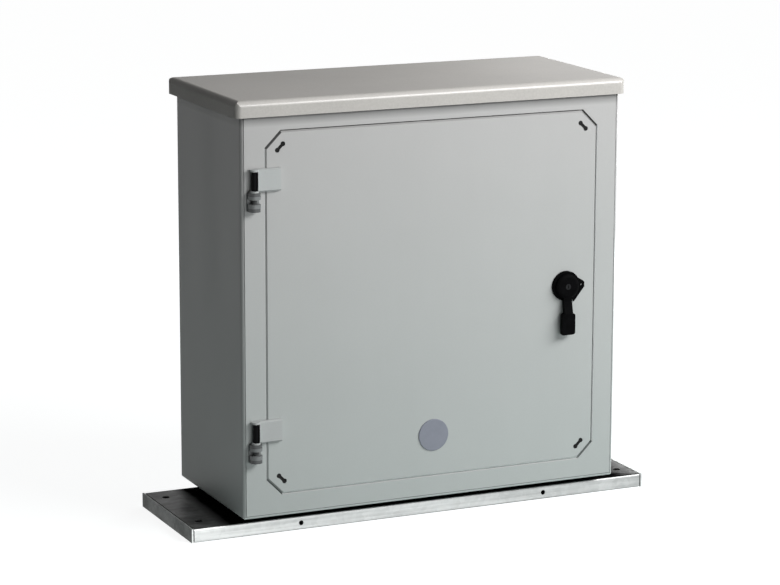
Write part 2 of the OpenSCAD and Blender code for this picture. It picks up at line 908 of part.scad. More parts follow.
// Handle rosette: a flange with an ear outside the door and a threaded barrel through it
module handle_rosette() {
    bore = sleeve_d / 2 + turn_clear;
    ear_edge = ear_w / 5;
    ear_x = ear_reach - 2 * ear_edge;
    root = rosette_d / 2 - 2 * rosette_edge;
    color(black)
    on_door(handle_x, handle_z)
        difference() {
            union() {
                rotate_extrude()
                    polygon([
                        [bore, -barrel_back], [barrel_d / 2, -barrel_back], [barrel_d / 2, 0],
                        [rosette_d / 2, 0], [rosette_d / 2, rosette_t - rosette_edge],
                        [rosette_d / 2 - rosette_edge, rosette_t], [bore, rosette_t]
                    ]);
                linear_extrude(ear_t)
                    polygon([
                        [bore + ear_edge, -root + ear_edge], [neck_w, -rosette_d / 2 - ear_drop],
                        [ear_reach - ear_edge, -ear_w / 2], [ear_reach, ear_edge - ear_w / 2],
                        [ear_reach, ear_w / 2 - ear_edge], [ear_reach - ear_edge, ear_w / 2],
                        [root * cos(60), root * sin(60)]
                    ]);
            }
            translate([ear_x, 0, -over])
                cylinder(d = ear_hole_d, h = ear_t + 2 * over);
        }
}

// Nut that clamps the rosette, inside the door
module rosette_nut() {
    color(zinc)
    on_door(handle_x, handle_z)
        translate([0, 0, -door_t - nut_h])
            hex_nut(nut_w, nut_h, barrel_d + 2 * thread_clear);
}

// Outline of the lever, from the front: the neck and the wider grip below it
module lever_outline() {
    neck_len = lever_len - grip_len;
    shoulder = (grip_w - neck_w) / 2;
    translate([-neck_w / 2, -neck_len - shoulder])
        square([neck_w, neck_len + shoulder]);
    translate([0, -lever_len + grip_len / 2])
        round_rect(grip_w, grip_len, shoulder);
}

// Outline of the lever, from the side: the neck lies lower than the grip
module lever_side() {
    neck_len = lever_len - grip_len;
    grip_front = grip_space + grip_t;
    neck_back = rosette_t + hub_gap + hub_gap;
    neck_front = hub_front - hub_edge / 2;
    polygon([
        [0, neck_back], [rosette_d / 2, neck_back], [neck_len, grip_space], [lever_len - grip_t / 4, grip_space],
        [lever_len, grip_space + grip_t / 4], [lever_len, grip_front - grip_t / 4],
        [lever_len - grip_t / 4, grip_front], [neck_len, grip_front], [rosette_d / 2, neck_front], [0, neck_front]
    ]);
}

// Handle lever: hub, neck and grip in one, with a sleeve through the rosette
module handle_lever() {
    hub_r = hub_d / 2;
    hub_back = rosette_t + hub_gap;
    sleeve_back = -barrel_back;
    color(black)
    on_door(handle_x, handle_z)
        difference() {
            union() {
                rotate_extrude()
                    polygon([
                        [0, sleeve_back], [sleeve_d / 2, sleeve_back], [sleeve_d / 2, hub_back], [hub_r, hub_back],
                        [hub_r, hub_front - hub_edge], [hub_r - hub_edge, hub_front - hub_edge / 4],
                        [hub_r - 2 * hub_edge, hub_front], [0, hub_front]
                    ]);
                intersection() {
                    linear_extrude(hub_front + grip_space + grip_t)
                        lever_outline();
                    translate([-grip_w, 0, 0])
                        rotate([90, 0, 90])
                            linear_extrude(2 * grip_w)
                                mirror([1, 0])
                                    lever_side();
                }
            }
            translate([0, 0, hub_front - plug_len - turn_clear])
                cylinder(d = plug_d + 2 * turn_clear, h = plug_len + over);
            translate([0, 0, sleeve_back - over])
                linear_extrude(over - sleeve_back + rosette_t)
                    square(spindle_w + 2 * square_clear, center = true);
        }
}

// Lock plug in the hub, with a keyway
module lock_plug() {
    key_w = plug_d / 8;
    key_h = plug_d * 0.6;
    color(grey_hinge)
    on_door(handle_x, handle_z)
        difference() {
            translate([0, 0, hub_front - plug_len])
                cylinder(d = plug_d, h = plug_len - hub_gap);
            translate([-key_w / 2, -key_h / 2, hub_front - plug_len / 2])
                cube([key_w, key_h, plug_len]);
        }
}

// Square spindle from the hub to the cam plate
module handle_spindle() {
    back = cam_at + cam_t;
    color(zinc)
    on_door(handle_x, handle_z)
        difference() {
            translate([0, 0, -back])
                linear_extrude(back + rosette_t - square_clear)
                    square(spindle_w, center = true);
            translate([0, 0, -back - over])
                cylinder(d = cam_screw_d + 2 * thread_clear, h = over + cam_at);
        }
}

// Cam plate: a disc with a collar, a tongue that points up when unlocked, and two pin holes
module lock_cam() {
    disc_r = cam_r + cam_pin_d;
    collar_d = sleeve_d;
    color(zinc)
    on_door(handle_x, handle_z)
        difference() {
            union() {
                translate([0, 0, -cam_at - cam_t])
                    linear_extrude(cam_t) {
                        circle(disc_r);
                        translate([0, (tongue_len - tongue_w / 2) / 2])
                            square([tongue_w, tongue_len - tongue_w / 2], center = true);
                        translate([0, tongue_len - tongue_w / 2])
                            circle(d = tongue_w);
                    }
                translate([0, 0, -cam_at - cam_t])
                    cylinder(d = collar_d, h = cam_at + cam_t - barrel_back - hub_gap);
            }
            translate([0, 0, -cam_at - cam_t - over])
                linear_extrude(cam_at + cam_t + over)
                    square(spindle_w + 2 * square_clear, center = true);
            for (side = [-1, 1])
                rotate([0, 0, 45])
                    translate([side * cam_r, 0, -cam_at - cam_t - over])
                        cylinder(d = cam_pin_d - 2, h = cam_t + 2 * over);
        }
}

// Two pins riveted in the cam plate, which drive the rods
module cam_pins() {
    shank_d = cam_pin_d - 2 - 2 * thread_clear;
    color(zinc)
    on_door(handle_x, handle_z)
        for (side = [-1, 1])
            rotate([0, 0, 45])
                translate([side * cam_r, 0, -cam_at])
                    rotate([180, 0, 0]) {
                        cylinder(d = shank_d, h = cam_t + rod_clear);
                        translate([0, 0, cam_t])
                            cylinder(d = cam_pin_d, h = rod_t + 2 * rod_clear);
                        translate([0, 0, cam_t + rod_t + 2 * rod_clear])
                            cylinder(d = cam_pin_head_d, h = cam_pin_head_h);
                    }
}

// Screw that holds the cam plate on the spindle
module cam_screw() {
    color(zinc)
    on_door(handle_x, handle_z)
        translate([0, 0, -cam_at - cam_t])
            rotate([180, 0, 0])
                pan_screw(cam_screw_d, cam_t + 2 * cam_screw_d, cam_screw_head_d, cam_screw_head_h);
}

// Lock rod: a flat bar with a slotted head on the cam pin; side is 1 for the upper rod
module lock_rod(side) {
    pin_z = -side * cam_r * sqrt(0.5);
    tip_z = open_h / 2 - side * handle_rise - lip_w - rod_tip_clear;
    head_w = rod_eye_w + 2 * rod_head_wall;
    head_h = rod_eye_h + 2 * rod_head_wall;
    len = tip_z - side * pin_z;
    color(zinc)
    on_door(handle_x, handle_z)
        translate([-side * rod_x, pin_z, -rod_back])
            mirror([0, (1 - side) / 2, 0])
                linear_extrude(rod_t)
                    difference() {
                        union() {
                            round_rect(head_w, head_h, rod_head_wall);
                            translate([-rod_w / 2, 0])
                                square([rod_w, len - rod_w / 2]);
                            translate([0, len - rod_w / 2])
                                circle(d = rod_w);
                        }
                        slot(rod_eye_w, rod_eye_h);
                    }
}

module lock_rod_upper() {
    lock_rod(1);
}

module lock_rod_lower() {
    lock_rod(-1);
}

// Rod guide: a foot on two bosses of the door and a loop round the rod
module rod_guide(side) {
    foot_back = door_t + guide_boss_h + guide_foot_t;
    loop_w = rod_w + 2 * rod_clear + 2 * guide_wall;
    loop_back = rod_back + rod_clear + guide_wall;
    color(black)
    on_door(handle_x - side * rod_x, guide_z(side))
        difference() {
            union() {
                translate([0, 0, -foot_back])
                    linear_extrude(guide_foot_t)
                        round_rect(guide_pitch + guide_boss_d, guide_h, guide_foot_t);
                translate([-loop_w / 2, -guide_h / 2, -loop_back])
                    cube([loop_w, guide_h, loop_back - foot_back + guide_foot_t]);
            }
            translate([-rod_w / 2 - rod_clear, -guide_h, -rod_back - rod_clear])
                cube([rod_w + 2 * rod_clear, 2 * guide_h, rod_t + 2 * rod_clear]);
            for (x = [-1, 1])
                translate([x * guide_pitch / 2, 0, -foot_back - over])
                    cylinder(d = guide_screw_d + 2 * hole_clear, h = guide_foot_t + 2 * over);
        }
}

module rod_guide_upper() {
    rod_guide(1);
}

module rod_guide_lower() {
    rod_guide(-1);
}

// Screws of the rod guides
module guide_screws() {
    color(zinc)
    for (side = [-1, 1])
        at_guide_bosses(side)
            translate([0, 0, -door_t - guide_boss_h - guide_foot_t])
                rotate([180, 0, 0])
                    pan_screw(guide_screw_d, guide_foot_t + guide_boss_h - 1, guide_screw_head_d, guide_screw_head_h);
}

// Mounting plate: galvanised sheet with its sides folded back
module mounting_plate() {
    fold_r = plate_t * 1.5;
    color(zinc)
    difference() {
        translate([0, plate_front, plate_zc - plate_h / 2])
            linear_extrude(plate_h)
                difference() {
                    translate([0, plate_fold])
                        round_rect(plate_w, 2 * plate_fold, fold_r);
                    translate([0, plate_fold])
                        round_rect(plate_w - 2 * plate_t, 2 * (plate_fold - plate_t), fold_r - plate_t);
                    translate([-plate_w, plate_fold])
                        square([2 * plate_w, 2 * plate_fold]);
                }
        at_posts()
            translate([0, 0, post_h - over])
                cylinder(d = plate_screw_d + 2 * hole_clear, h = plate_t + 2 * over);
        for (x = [-1, 1], z = [-1, 1])
            translate([x * plate_hole_x / 2, plate_front + plate_t + over, plate_zc + z * plate_hole_z / 2])
                rotate([90, 0, 0])
                    cylinder(d = plate_hole_d, h = plate_t + 2 * over);
    }
}

// Brass inserts moulded into the posts
module plate_inserts() {
    color(brass)
    at_posts()
        translate([0, 0, post_h - insert_len])
            difference() {
                cylinder(d = insert_d, h = insert_len);
                translate([0, 0, 1])
                    cylinder(d = plate_screw_d + 2 * thread_clear, h = insert_len);
            }
}

// Screws of the mounting plate
module plate_screws() {
    color(zinc)
    at_posts()
        translate([0, 0, post_h + plate_t])
            pan_screw(plate_screw_d, plate_screw_len + plate_t, plate_screw_head_d, plate_screw_head_h);
}

// Gland plate over the cable opening in the floor
module gland_plate() {
    color(zinc)
    difference() {
        translate([0, base_y, floor_top + gland_gasket_t])
            linear_extrude(gland_t)
                round_rect(gland_w, gland_d, gland_corner_r);
        at_gland_screws()
            translate([0, 0, floor_top])
                cylinder(d = gland_screw_d + 2 * hole_clear, h = gland_gasket_t + gland_t + over);
    }
}

// Gasket under the gland plate
module gland_gasket() {
    color(black)
    difference() {
        translate([0, base_y, floor_top])
            linear_extrude(gland_gasket_t)
                difference() {
                    round_rect(gland_w, gland_d, gland_corner_r);
                    round_rect(entry_w, entry_d, gland_corner_r);
                }
        at_gland_screws()
            translate([0, 0, floor_top - over])
                cylinder(d = gland_screw_d + 2 * hole_clear, h = gland_gasket_t + 2 * over);
    }
}

// Screws of the gland plate
module gland_screws() {
    color(zinc)
    at_gland_screws()
        translate([0, 0, floor_top + gland_gasket_t + gland_t])
            pan_screw(gland_screw_d, gland_t + gland_gasket_t + wall, gland_screw_head_d, gland_screw_head_h);
}

// Section of the base across its depth: a channel with lower lips
module base_section() {
    translate([0, base_h / 2])
        difference() {
            round_rect(base_d, base_h, bend_r);
            round_rect(base_d - 2 * base_t, base_h - 2 * base_t, bend_r - base_t);
            translate([0, -base_h / 2])
                square([base_d - 2 * base_lip, 4 * base_t], center = true);
        }
}

// Base: a folded galvanised channel under the cabinet
module base_frame() {
    len = base_l - 2 * cap_t - 2 * base_seam;
    color(zinc)
    translate([0, base_y, 0])
        difference() {
            translate([-len / 2, 0, 0])
                rotate([90, 0, 90])
                    linear_extrude(len)
                        base_section();
            translate([0, 0, base_h - base_t - over])
                linear_extrude(base_t + 2 * over)
                    round_rect(entry_w + 2 * base_entry_margin, entry_d + 2 * base_entry_margin, gland_corner_r);
            for (x = [-1, 1], y = [-1, 1])
                translate([x * bolt_x / 2, y * bolt_y / 2, base_h - base_t - over])
                    cylinder(d = bolt_d + 2 * hole_clear, h = base_t + 2 * over);
            for (x = [-1, 1], y = [-1, 1])
                translate([x * anchor_x / 2, y * anchor_y / 2, base_h - base_t - over])
                    cylinder(d = anchor_d, h = base_t + 2 * over);
            for (x = [-1, 1])
                translate([x * flange_hole_x / 2, base_d, base_h / 2])
                    rotate([90, 0, 0])
                        cylinder(d = flange_hole_d, h = 2 * base_d);
        }
}

// End caps: plates across the base's ends, each with a leg under the channel's top
module base_end_caps() {
    leg_d = base_d - 4 * bend_r;
    color(zinc)
    for (end = [0, 1])
        mirror([end, 0, 0]) {
            translate([base_l / 2 - cap_t, base_y - base_d / 2, 0])
                cube([cap_t, base_d, base_h]);
            translate([base_l / 2 - cap_w, base_y - leg_d / 2, base_h - base_t - cap_t])
                cube([cap_w - cap_t / 2, leg_d, cap_t]);
        }
}

// Spacers between base and body, one round each bolt
module foot_spacers() {
    color(black)
    at_body_bolts()
        translate([0, 0, base_h])
            difference() {
                cylinder(d = foot_d, h = foot_gap);
                translate([0, 0, -over])
                    cylinder(d = bolt_d + 2 * hole_clear, h = foot_gap + 2 * over);
            }
}

// Bolts through floor, spacer and base
module base_bolts() {
    top = floor_top + washer_t;
    bottom = base_h - base_t - washer_t - bolt_nut_h - 1;
    color(zinc)
    at_body_bolts() {
        translate([0, 0, bottom])
            cylinder(d = bolt_d, h = top - bottom);
        translate([0, 0, top])
            cylinder(d = bolt_head_w / cos(30), h = bolt_head_h, $fn = 6);
    }
}

// Washers under the bolt heads and above the nuts
module base_washers() {
    color(zinc)
    at_body_bolts()
        for (z = [floor_top, base_h - base_t - washer_t])
            translate([0, 0, z])
                difference() {
                    cylinder(d = washer_d, h = washer_t);
                    translate([0, 0, -over])
                        cylinder(d = bolt_d + 2 * hole_clear, h = washer_t + 2 * over);
                }
}

// Nuts under the base's sheet
module base_nuts() {
    color(zinc)
    at_body_bolts()
        translate([0, 0, base_h - base_t - washer_t - bolt_nut_h])
            hex_nut(bolt_head_w, bolt_nut_h, bolt_d + 2 * thread_clear);
}

body_shell();
front_frame();
roof_canopy();
roof_screws();
door_panel();
door_gasket();
door_disc();
corner_plugs();
hinge_leaf_upper();
hinge_leaf_lower();
hinge_leaf_nuts();
hinge_bracket_upper();
hinge_bracket_lower();
hinge_bracket_nuts();
hinge_pin_upper();
hinge_pin_lower();
hinge_collars();
handle_rosette();
rosette_nut();
handle_lever();
lock_plug();
handle_spindle();
lock_cam();
cam_pins();
cam_screw();
lock_rod_upper();
lock_rod_lower();
rod_guide_upper();
rod_guide_lower();
guide_screws();
mounting_plate();
plate_inserts();
plate_screws();
gland_plate();
gland_gasket();
gland_screws();
base_frame();
base_end_caps();
foot_spacers();
base_bolts();
base_washers();
base_nuts();
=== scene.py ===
"""Looks, light and camera for a moulded roadside cabinet on a galvanised base."""

import math

import bmesh
import bpy
from mathutils import Matrix, Vector


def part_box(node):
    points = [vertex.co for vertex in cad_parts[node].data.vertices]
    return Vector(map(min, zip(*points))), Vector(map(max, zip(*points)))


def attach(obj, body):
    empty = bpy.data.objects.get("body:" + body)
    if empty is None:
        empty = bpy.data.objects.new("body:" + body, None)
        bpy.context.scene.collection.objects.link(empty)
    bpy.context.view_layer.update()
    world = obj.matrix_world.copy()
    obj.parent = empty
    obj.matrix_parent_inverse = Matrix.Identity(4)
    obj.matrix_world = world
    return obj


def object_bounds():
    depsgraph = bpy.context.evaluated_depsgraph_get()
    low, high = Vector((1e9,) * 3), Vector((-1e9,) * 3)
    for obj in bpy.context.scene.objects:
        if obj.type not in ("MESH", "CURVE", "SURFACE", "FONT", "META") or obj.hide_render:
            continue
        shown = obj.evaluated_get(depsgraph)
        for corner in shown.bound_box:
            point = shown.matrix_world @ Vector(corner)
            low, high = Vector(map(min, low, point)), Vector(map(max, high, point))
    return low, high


bl_info = {
    "name": "Roadside Cabinet",
    "version": (1, 0, 0),
    "blender": (4, 5, 0),
    "location": "View3D > Sidebar > Cabinet",
    "description": "Finishes, studio and camera for a roadside utility cabinet",
    "category": "Object",
}

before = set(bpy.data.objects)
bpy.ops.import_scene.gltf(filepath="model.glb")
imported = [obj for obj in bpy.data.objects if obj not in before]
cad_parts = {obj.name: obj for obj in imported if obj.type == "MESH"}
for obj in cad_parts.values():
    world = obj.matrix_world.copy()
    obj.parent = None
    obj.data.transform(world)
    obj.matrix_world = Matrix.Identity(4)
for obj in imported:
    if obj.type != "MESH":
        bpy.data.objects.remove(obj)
CAD_BOX = [list(corner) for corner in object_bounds()]


# Settings

def colour(name, description, default):
    return bpy.props.FloatVectorProperty(
        name=name, description=description, default=default,
        subtype="COLOR", size=3, min=0.0, max=1.0)


def length(name, description, default):
    return bpy.props.FloatProperty(
        name=name, description=description, default=default,
        unit="LENGTH", min=0.0, precision=5)


def factor(name, description, default, top=1.0):
    return bpy.props.FloatProperty(
        name=name, description=description, default=default,
        subtype="FACTOR", min=0.0, max=top)


def angle(name, description, default):
    return bpy.props.FloatProperty(
        name=name, description=description, default=math.radians(default),
        subtype="ANGLE", unit="ROTATION")


def power(name, description, default):
    return bpy.props.FloatProperty(
        name=name, description=description, default=default,
        unit="POWER", min=0.0)


class CabinetColours(bpy.types.PropertyGroup):
    """Colours of the cabinet's finishes, as linear light"""
    # Painted light: the moulding goes from a greener grey at the foot to a warmer grey at the top,
    # standing in for warm light from above and cool light from the floor
    moulding: colour(
        "Moulding", "Grey polyester at the foot of the body and the door", (0.444, 0.480, 0.469))
    tinted: colour(
        "Tinted moulding", "Grey polyester at the top, bleached by the sun",
        (0.449, 0.444, 0.440))
    roof: colour("Roof", "Warmer grey polyester of the roof", (0.488, 0.471, 0.447))
    hinge: colour("Hinge leaf", "Grey of the hinge leaves", (0.418, 0.436, 0.432))
    bracket: colour("Hinge bracket", "Darker grey of the hinge brackets", (0.165, 0.175, 0.175))
    collar: colour(
        "Hinge collar", "Dark nylon of the hinges' washers and caps", (0.062, 0.065, 0.066))
    black: colour("Black plastic", "Handle, rosette and rod guides", (0.0022, 0.0022, 0.0024))
    # Painted shade: dark plugs fill the corner slots, standing in for the shade inside them
    slot: colour(
        "Corner slot", "Dark plugs in the slots beside the door's corners", (0.020, 0.020, 0.020))
    pin: colour("Hinge pin", "Black finish of the hinge pins", (0.004, 0.004, 0.0045))
    worn: colour("Worn pin", "Hinge pin where the bracket has rubbed it", (0.075, 0.078, 0.078))
    # Painted light: the bead is pale so that the gap round the door, which lies in shade, reads
    # light
    seal: colour("Gap seal", "Pale bead in the gap round the door", (0.780, 0.800, 0.795))
    disc: colour("Disc", "Bluish grey of the blank disc", (0.205, 0.220, 0.262))
    zinc: colour("Zinc plating", "Bright zinc on screws, rods and cam", (0.560, 0.575, 0.590))
    spangle: colour("Galvanising", "Bright crystals of the galvanised sheet", (0.640, 0.650, 0.645))
    # Dirt and painted shade: the base's upper face is made dark, standing in for the dark
    # surroundings that it reflects
    grime_and_shade: colour("Base grime", "Dull dirt on the upper face of the base", (0.034, 0.035, 0.034))
    # Painted shadow: black on the base's upper face beside the body
    stain: colour("Base stain", "Black soil on the base beside the body", (0.004, 0.004, 0.004))
    # Painted shade: the base's ends are darker and duller on their faces along X and Z
    dull: colour("Dull zinc", "Shaded zinc on the base's ends", (0.270, 0.282, 0.274))
    rubber: colour("Rubber", "Gaskets and spacers", (0.016, 0.016, 0.016))
    brass: colour("Brass", "Threaded inserts", (0.560, 0.380, 0.130))
    plug: colour("Lock plug", "Dull metal of the lock plug", (0.017, 0.0175, 0.018))


class CabinetFinish(bpy.types.PropertyGroup):
    """Scale and strength of the surface detail"""
    grain: length("Moulding grain", "Distance between the bumps of the moulded skin", 0.0022)
    grain_depth: length("Grain depth", "Depth of the moulded skin's bumps", 0.00010)
    spangle_size: length("Spangle size", "Mean width of a zinc crystal", 0.009)
    handle_edge: length("Handle edge", "Radius of the handle's edges", 0.0012)
    hinge_edge: length("Hinge edge", "Radius of the hinges' edges", 0.0008)
    # Painted shadow beside the body on the base
    shadow_reach: length("Stain reach", "Width of the black soil on the base beside the body", 0.030)
    flange_rim: length("Flange rim", "Width of the base's clean front and rear rims", 0.006)
    seal_back: length("Seal back", "Depth of the gap seal's back behind the door's face", 0.004)
    seal_round: length("Seal round", "Radius of the gap seal's edge beside the door", 0.0005)
    # Painted shade in the door's gap: its bevels and cut-off corners are darkened
    door_shading: factor(
        "Door soil", "How much soil darkens the door's bevels and its cut-off corners", 0.80)
    # Painted shade and light on the gap seal: darker on the faces that take the light, pale on its
    # upright flanks in shade
    seal_shading: factor(
        "Seal soil", "How much the gap seal is darkened except on its upright flanks", 0.38)
    # Painted shadow: the body is darkened in a band under the roof's skirt, where the eaves cast
    # shade
    eaves_shading: factor(
        "Eaves soil", "How much the body is darkened by soil under the roof's skirt", 0.68)
    eaves_reach: length("Eaves reach", "Height of the shadowed band under the roof's skirt", 0.018)
    # Painted light: the lower edges of the body and the door face down into shade and are made
    # paler
    lower_edge_light: factor(
        "Lower edge highlight", "How much paler the lower edges of the body and the door are rubbed",
        0.60)
    edge_coat: factor("Edge coat", "Weight of the clear coat on the roof's rounded edges", 1.0)
    coat_rough: factor("Coat roughness", "Roughness of the clear coat on the roof's edges", 0.25)
    # Painted highlight: the roof's front and right rounded edges are made paler
    edge_highlight: factor("Edge highlight", "How much paler the roof's rounded edges are rubbed", 0.12)
    moulding_gloss: factor("Moulding roughness", "Roughness of the moulded polyester", 0.46)


class CabinetStage(bpy.types.PropertyGroup):
    """Floor, light and camera"""
    floor_size: length("Floor size", "Side of the square floor", 60.0)
    floor_tint: colour(
        "Floor", "Colour of the light that the floor gives back to the cabinet",
        (0.360, 0.410, 0.410))
    floor_glow: factor("Floor white", "Glow that makes the floor white beside the cabinet", 0.90)
    far_glow: factor(
        "Far floor white", "Glow that makes the floor white far from the cabinet", 0.97)
    glow_reach: length("Glow reach", "Distance at which the floor is fully white", 3.0)
    ambient: factor("Ambient", "Strength of the even light from all round", 0.04)
    key_power: power("Key light", "Power of the large soft light at the right", 71.0)
    key_width: length("Key width", "Width of the key light", 2.2)
    key_height: length("Key height", "Height of the key light", 0.9)
    key_distance: length("Key distance", "Distance of the key light from the cabinet", 2.6)
    key_turn: angle("Key turn", "Turn of the key light from straight in front to the right", 40.0)
    key_rise: angle("Key rise", "Height angle of the key light", 33.0)
    key_spread: angle("Key spread", "Width of the key light's beam", 180.0)
    fill_power: power("Fill light", "Power of the soft light in front", 20.0)
    fill_width: length("Fill width", "Width of the fill light", 1.8)
    fill_height: length("Fill height", "Height of the fill light", 0.9)
    fill_distance: length("Fill distance", "Distance of the fill light from the cabinet", 3.1)
    fill_turn: angle("Fill turn", "Turn of the fill light from straight in front to the right", 0.0)
    fill_rise: angle("Fill rise", "Height angle of the fill light", 2.0)
    fill_spread: angle("Fill spread", "Width of the fill light's beam", 180.0)
    rim_power: power(
        "Rim light", "Power of the small light above the roof's right rear corner", 0.25)
    rim_width: length("Rim width", "Width of the rim light", 0.4)
    rim_height: length("Rim height", "Height of the rim light", 0.4)
    rim_distance: length("Rim distance", "Distance of the rim light from the roof's corner", 1.0)
    rim_turn: angle("Rim turn", "Turn of the rim light from straight in front to the right", 140.0)
    rim_rise: angle("Rim rise", "Height angle of the rim light", 35.0)
    rim_spread: angle("Rim spread", "Width of the rim light's beam", 36.0)
    back_power: power("Back light", "Power of the low light behind the cabinet", 30.0)
    back_width: length("Back width", "Width of the back light", 1.0)
    back_height: length("Back height", "Height of the back light", 0.6)
    back_distance: length("Back distance", "Distance of the back light from the cabinet", 2.6)
    back_turn: angle(
        "Back turn", "Turn of the back light from straight in front to the right", 135.0)
    back_rise: angle("Back rise", "Height angle of the back light", 1.0)
    back_spread: angle("Back spread", "Width of the back light's beam", 180.0)
    lens: bpy.props.FloatProperty(
        name="Lens", description="Focal length of the camera", default=137.296,
        unit="CAMERA", min=1.0)
    eye: bpy.props.FloatVectorProperty(
        name="Eye", description="Place of the camera", default=(-2.2633, -4.92565, 1.5616),
        subtype="TRANSLATION", unit="LENGTH", size=3)
    turn: angle("Turn", "Turn of the camera about the upright", -24.526)
    dip: angle("Dip", "How far the camera looks down", 12.130)
    tilt: angle("Tilt", "Tilt of the picture", 0.158)


# Shader expressions

class Sock:
    """An output socket that can stand in a Python expression"""

    def __init__(self, net, socket):
        self.net = net
        self.socket = socket

    def _math(self, operation, first, second):
        return self.net.node("ShaderNodeMath", {"operation": operation}, {0: first, 1: second})

    def __add__(self, other):
        return self._math("ADD", self, other)

    def __radd__(self, other):
        return self._math("ADD", other, self)

    def __sub__(self, other):
        return self._math("SUBTRACT", self, other)

    def __rsub__(self, other):
        return self._math("SUBTRACT", other, self)

    def __mul__(self, other):
        return self._math("MULTIPLY", self, other)

    def __rmul__(self, other):
        return self._math("MULTIPLY", other, self)

    def __truediv__(self, other):
        return self._math("DIVIDE", self, other)

    def __rtruediv__(self, other):
        return self._math("DIVIDE", other, self)

    def clamp(self):
        return self.net.node("ShaderNodeClamp", {}, {0: self})


class Net:
    """The node tree of one material or world"""

    def __init__(self, owner):
        owner.use_nodes = True
        self.tree = owner.node_tree
        self.tree.nodes.clear()

    def node(self, kind, settings, inputs, out=0):
        made = self.tree.nodes.new(kind)
        for key, value in settings.items():
            if key == "stops":
                self._stops(made.color_ramp, value)
            else:
                setattr(made, key, value)
        for key, value in inputs.items():
            target = made.inputs[key]
            if isinstance(value, Sock):
                self.tree.links.new(value.socket, target)
            else:
                target.default_value = value
        return Sock(self, made.outputs[out]) if made.outputs else made

    @staticmethod
    def _stops(ramp, stops):
        while len(ramp.elements) < len(stops):
            ramp.elements.new(1.0)
        for element, (place, shade) in zip(ramp.elements, stops):
            element.position = place
            element.color = (shade, shade, shade, 1.0)

    def place(self):
        return self.node("ShaderNodeTexCoord", {}, {}, out="Object")

    def stretch(self, point, scale):
        return self.node("ShaderNodeVectorMath", {"operation": "MULTIPLY"}, {0: point, 1: scale})

    def noise(self, point, scale=1.0, detail=3.0, rough=0.55):
        return self.node("ShaderNodeTexNoise", {}, {
            "Vector": point, "Scale": scale, "Detail": detail, "Roughness": rough})

    def ramp(self, value, *stops):
        return self.node("ShaderNodeValToRGB", {"stops": stops}, {0: value})

    def mix(self, amount, first, second, blend="MIX"):
        return self.node(
            "ShaderNodeMix", {"data_type": "RGBA", "blend_type": blend},
            {0: amount, 6: first, 7: second}, out=2)

    def tone(self, shade, value):
        """A colour made lighter or darker by a value about 1"""
        grey = self.node("ShaderNodeCombineColor", {}, {0: value, 1: value, 2: value})
        return self.mix(1.0, rgba(shade), grey, "MULTIPLY")

    def bump(self, height, depth, strength):
        return self.node("ShaderNodeBump", {}, {
            "Strength": strength, "Distance": depth, "Height": height})

    def absolute(self, value):
        return self.node("ShaderNodeMath", {"operation": "ABSOLUTE"}, {0: value})

    def larger(self, first, second):
        return self.node("ShaderNodeMath", {"operation": "MAXIMUM"}, {0: first, 1: second})

    def part(self, vector, axis):
        """One coordinate of a vector"""
        return self.node("ShaderNodeSeparateXYZ", {}, {0: vector}, out=axis)

    def facing(self, axis):
        """How far a surface faces along an axis of the cabinet's frame, from -1 to 1"""
        return self.part(self.node("ShaderNodeTexCoord", {}, {}, out="Normal"), axis)

    def within(self, place, low, high, fade):
        """1 between two places, falling to 0 at them over a short way inside"""
        return (((high - low) / 2 - self.absolute(place - (low + high) / 2)) / fade).clamp()

    def surface(self, shader):
        self.node("ShaderNodeOutputMaterial", {}, {"Surface": shader})

    def principled(self, over=None, **inputs):
        """The surface; over is the amount and the colour of a matt painted shadow laid on it"""
        shader = self.node("ShaderNodeBsdfPrincipled", {}, {
            key.replace("_", " "): value for key, value in inputs.items()})
        if over is not None:
            amount, shading = over
            matt = self.node("ShaderNodeBsdfDiffuse", {}, {"Color": rgba(shading)})
            shader = self.node("ShaderNodeMixShader", {}, {0: amount, 1: shader, 2: matt})
        self.surface(shader)


def rgba(shade):
    return (*shade, 1.0)


def material(name):
    made = bpy.data.materials.new(name)
    return made, Net(made)


# Finishes

# Shares of the painted shade on the door's upper and left bevels and at its cut-off corners
BEVEL_SHADING = 0.25
CORNER_SHADING = 0.70
# Size of the moulded skin's specks against its grain, and share of flow marks in its clouds
SPECK_SIZE = 1.6
FLOW_SHARE = 0.6
# Lengths over which the rubbed part of a pin and the clean rims of the base fade out
RUB_FADE = 0.0008
RIM_FADE = 0.001
# How far the edges of the zinc crystals wander, and the length over which the zinc darkens to the
# right as a painted shade
SPANGLE_WARP = 0.006
SHADE_SPAN = 0.9
# How much wider the painted black shadow on the base is at the right of the body
RIGHT_SHADING = 4.4


def bevel_shading(net):
    """Painted shade on the door's upper and hinge-side bevels, and more at its cut-off corners"""
    slant = net.absolute(net.facing("X")) * net.absolute(net.facing("Z"))
    corner = net.ramp(slant, (0.10, 0.0), (0.20, 1.0))
    bevel = net.ramp(net.facing("Z") - net.facing("X"), (0.30, 0.0), (0.60, 1.0))
    return BEVEL_SHADING * bevel + CORNER_SHADING * corner


def lower_edge(net):
    """1 on edges that face down and to the front or back"""
    slant = net.facing("Z") * net.absolute(net.facing("Y")) * -1.0
    return net.ramp(slant, (0.08, 0.0), (0.30, 1.0))


def roof_edge(net):
    """1 on rounded upper edges at the front and the right, which carry the roof's painted highlight
    """
    up = net.facing("Z")
    rounded = net.ramp(up * net.absolute(1.0 - up) * 4.0, (0.30, 0.0), (0.75, 1.0))
    side = net.larger(net.facing("X"), 0.0 - net.facing("Y"))
    return rounded * net.ramp(side, (0.10, 0.0), (0.35, 1.0))


